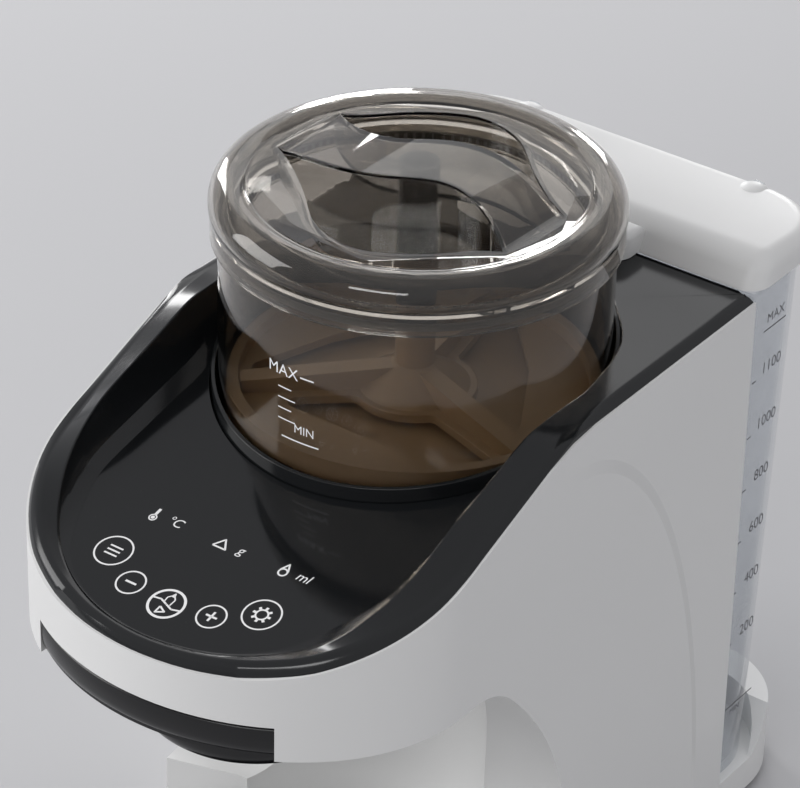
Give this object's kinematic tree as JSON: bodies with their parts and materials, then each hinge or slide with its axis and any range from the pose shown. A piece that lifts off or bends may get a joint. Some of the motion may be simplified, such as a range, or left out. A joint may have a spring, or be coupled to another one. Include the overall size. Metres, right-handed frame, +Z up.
{
  "type": "baby formula maker",
  "caption": "Countertop baby formula maker with a smoked powder jar, a sloping black touch panel, a clear rear water tank, a sliding funnel drawer and a bottle bay over a drip tray.",
  "frame": {"origin": "middle of the footprint, on the table that the feet stand on", "axes": "+Z up, the front with the touch panel faces -Y, +X is on the right seen from the front"},
  "size_m": [0.205, 0.37, 0.3602],
  "materials": {
    "white_plastic": "satin",
    "black_plastic": "gloss",
    "panel_black": "gloss",
    "clear_plastic": "clear",
    "smoke_plastic": "clear, smoke tinted",
    "beige_plastic": "matte",
    "grey_plastic": "matte",
    "rubber": "matte",
    "silicone": "matte",
    "steel": "brushed",
    "brass": "satin",
    "board_green": "satin",
    "gear_plastic": "satin"
  },
  "bodies": {
    "machine": {"housing": "white_plastic", "rear_panel": "white_plastic", "top_deck": "black_plastic", "deck_screws": "steel", "touch_panel": "panel_black", "display_board": "board_green", "jar_collar": "black_plastic", "collar_plate": "black_plastic", "gearbox_housing": "grey_plastic", "gearbox_screws": "steel", "shaft_bush": "brass", "powder_motor": "steel", "powder_chute": "grey_plastic", "water_nozzle": "silicone", "outlet_hose": "silicone", "base": "white_plastic", "base_plate": "grey_plastic", "base_screws": "steel", "feet": "rubber", "tank_dock": "grey_plastic", "mains_inlet": "black_plastic", "heater": "steel", "temperature_probe": "steel", "heater_bracket": "steel", "water_pump": "grey_plastic", "pump_bracket": "steel", "feed_hose": "silicone", "suction_hose": "silicone", "main_board": "board_green", "power_supply": "board_green"},
    "jar": {"powder_jar": "smoke_plastic", "jar_base": "beige_plastic"},
    "stirrer": {"powder_wheel": "beige_plastic", "agitator": "beige_plastic"},
    "lid": {"jar_lid": "smoke_plastic", "lid_hub": "black_plastic", "lid_seal": "silicone"},
    "drive": {"drive_gear": "gear_plastic", "drive_coupler": "grey_plastic"},
    "pinion": {"motor_pinion": "brass"},
    "drawer": {"funnel_drawer": "black_plastic", "powder_funnel": "black_plastic"},
    "tank": {"water_tank": "clear_plastic", "hinge_pins": "steel", "valve_body": "white_plastic", "valve_seal": "rubber", "valve_spring": "steel"},
    "tank_cover": {"tank_lid": "white_plastic"},
    "plunger": {"valve_plunger": "grey_plastic"},
    "tray": {"drip_tray": "black_plastic"},
    "grid": {"drip_grid": "black_plastic"}
  },
  "joints": [
    {"name": "jar_lift", "type": "slide", "parent": "machine", "child": "jar", "axis": [0, 0, 1], "range_m": [0, 0.1]},
    {"name": "lid_lift", "type": "slide", "parent": "jar", "child": "lid", "axis": [0, 0, 1], "range_m": [0, 0.05]},
    {"name": "stirrer_spin", "type": "hinge", "parent": "jar", "child": "stirrer", "pos_m": [0, 0.006, 0.253], "axis": [0, 0, 1], "continuous": true},
    {"name": "drive_spin", "type": "hinge", "parent": "machine", "child": "drive", "pos_m": [0, 0.006, 0.221], "axis": [0, 0, 1], "continuous": true},
    {"name": "pinion_spin", "type": "hinge", "parent": "machine", "child": "pinion", "pos_m": [0, 0.051, 0.221], "axis": [0, 0, 1], "continuous": true},
    {"name": "drawer_slide", "type": "slide", "parent": "machine", "child": "drawer", "axis": [0, -1, 0], "range_m": [0, 0.15]},
    {"name": "tank_lift", "type": "slide", "parent": "machine", "child": "tank", "axis": [0, 0, 1], "range_m": [0, 0.06]},
    {"name": "tank_lid_hinge", "type": "hinge", "parent": "tank", "child": "tank_cover", "pos_m": [0, 0.1785, 0.29], "axis": [-1, 0, 0], "range_deg": [0, 95]},
    {"name": "valve_lift", "type": "slide", "parent": "tank", "child": "plunger", "axis": [0, 0, 1], "range_m": [0, 0.003], "stiffness_N_per_m": 150, "springref_m": -0.003, "deforming": ["valve_spring"]},
    {"name": "tray_slide", "type": "slide", "parent": "machine", "child": "tray", "axis": [0, -1, 0], "range_m": [0, 0.12]},
    {"name": "grid_lift", "type": "slide", "parent": "tray", "child": "grid", "axis": [0, 0, 1], "range_m": [0, 0.03]}
  ],
  "couplings": [
    {"joint": "pinion_spin", "follows": "drive_spin", "ratio": -4},
    {"joint": "stirrer_spin", "follows": "drive_spin", "ratio": 1}
  ]
}
